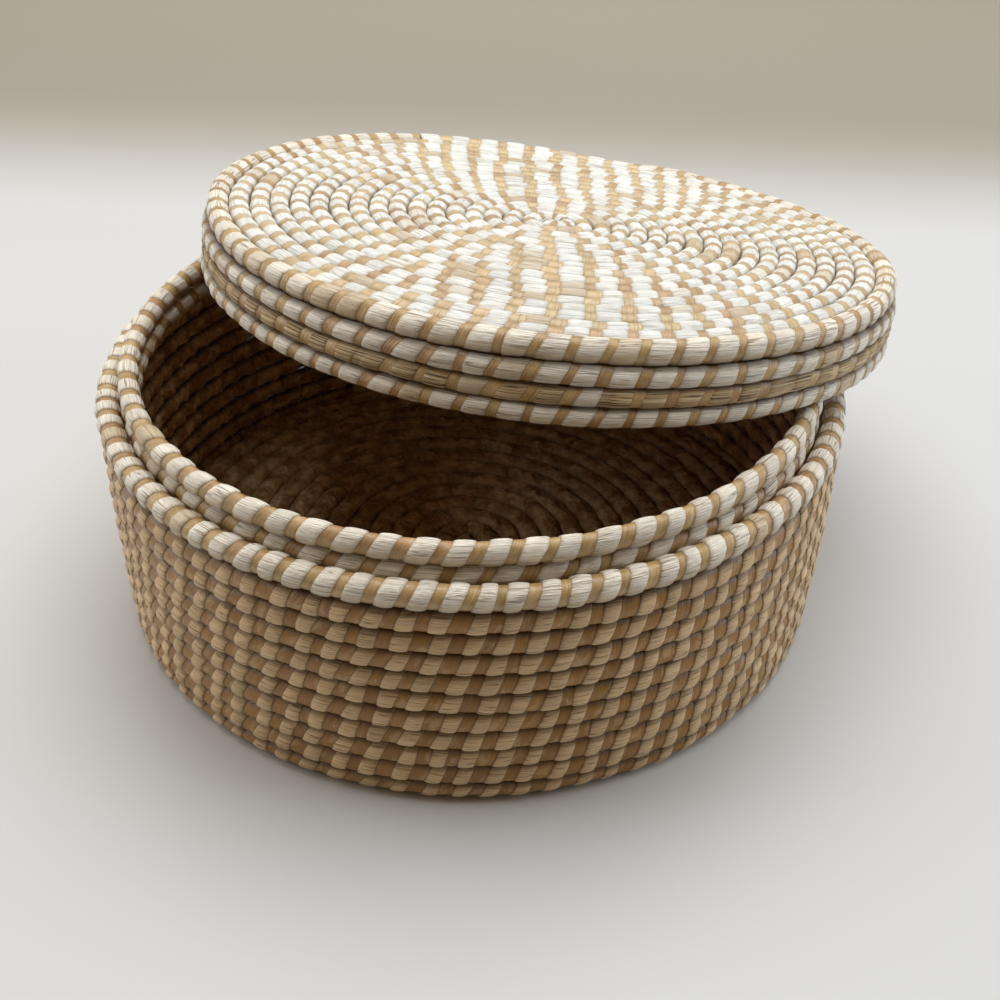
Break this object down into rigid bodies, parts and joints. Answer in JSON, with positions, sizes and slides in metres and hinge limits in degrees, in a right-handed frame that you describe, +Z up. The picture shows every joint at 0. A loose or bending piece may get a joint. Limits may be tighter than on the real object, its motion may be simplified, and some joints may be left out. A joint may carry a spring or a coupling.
{
  "type": "coiled basket box with lid",
  "caption": "Round low box of coiled basketry with a stepped rim and a shallow lid that lies tilted across it, leaving the front of the box open.",
  "frame": {"origin": "middle of the underside, on the surface that the box stands on", "axes": "+Z up; the front, where the lid leaves the box open, faces -Y and a little to -X; the lid is slid towards +Y and +X"},
  "size_m": [0.3265, 0.3552, 0.1575],
  "materials": {
    "cream_coil": "matt dried leaf sheath, cream with tan stitches",
    "tan_coil": "matt dried leaf sheath, more tan than cream",
    "straw_coil": "bare straw-brown stalks under sparse stitches",
    "inner_coil": "matt brown inner side of the coil"
  },
  "bodies": {
    "tub": {"base_coil": "inner_coil", "wall_row_01": "tan_coil", "wall_row_02": "cream_coil", "wall_row_03": "tan_coil", "wall_row_04": "cream_coil", "wall_row_05": "tan_coil", "wall_row_06": "cream_coil", "wall_row_07": "tan_coil", "wall_row_08": "cream_coil", "wall_row_09": "tan_coil", "wall_row_10": "cream_coil", "ledge_row": "cream_coil", "collar_row": "tan_coil", "collar_rim_row": "cream_coil"},
    "lid": {"lid_top_coil": "cream_coil", "lid_rim_row": "cream_coil", "lid_skirt_row_1": "cream_coil", "lid_skirt_row_2": "straw_coil", "lid_skirt_row_3": "cream_coil"}
  },
  "joints": [
    {"name": "lid_lift", "type": "slide", "parent": "tub", "child": "lid", "axis": [0, 0, 1], "range_m": [0, 0.16]}
  ]
}
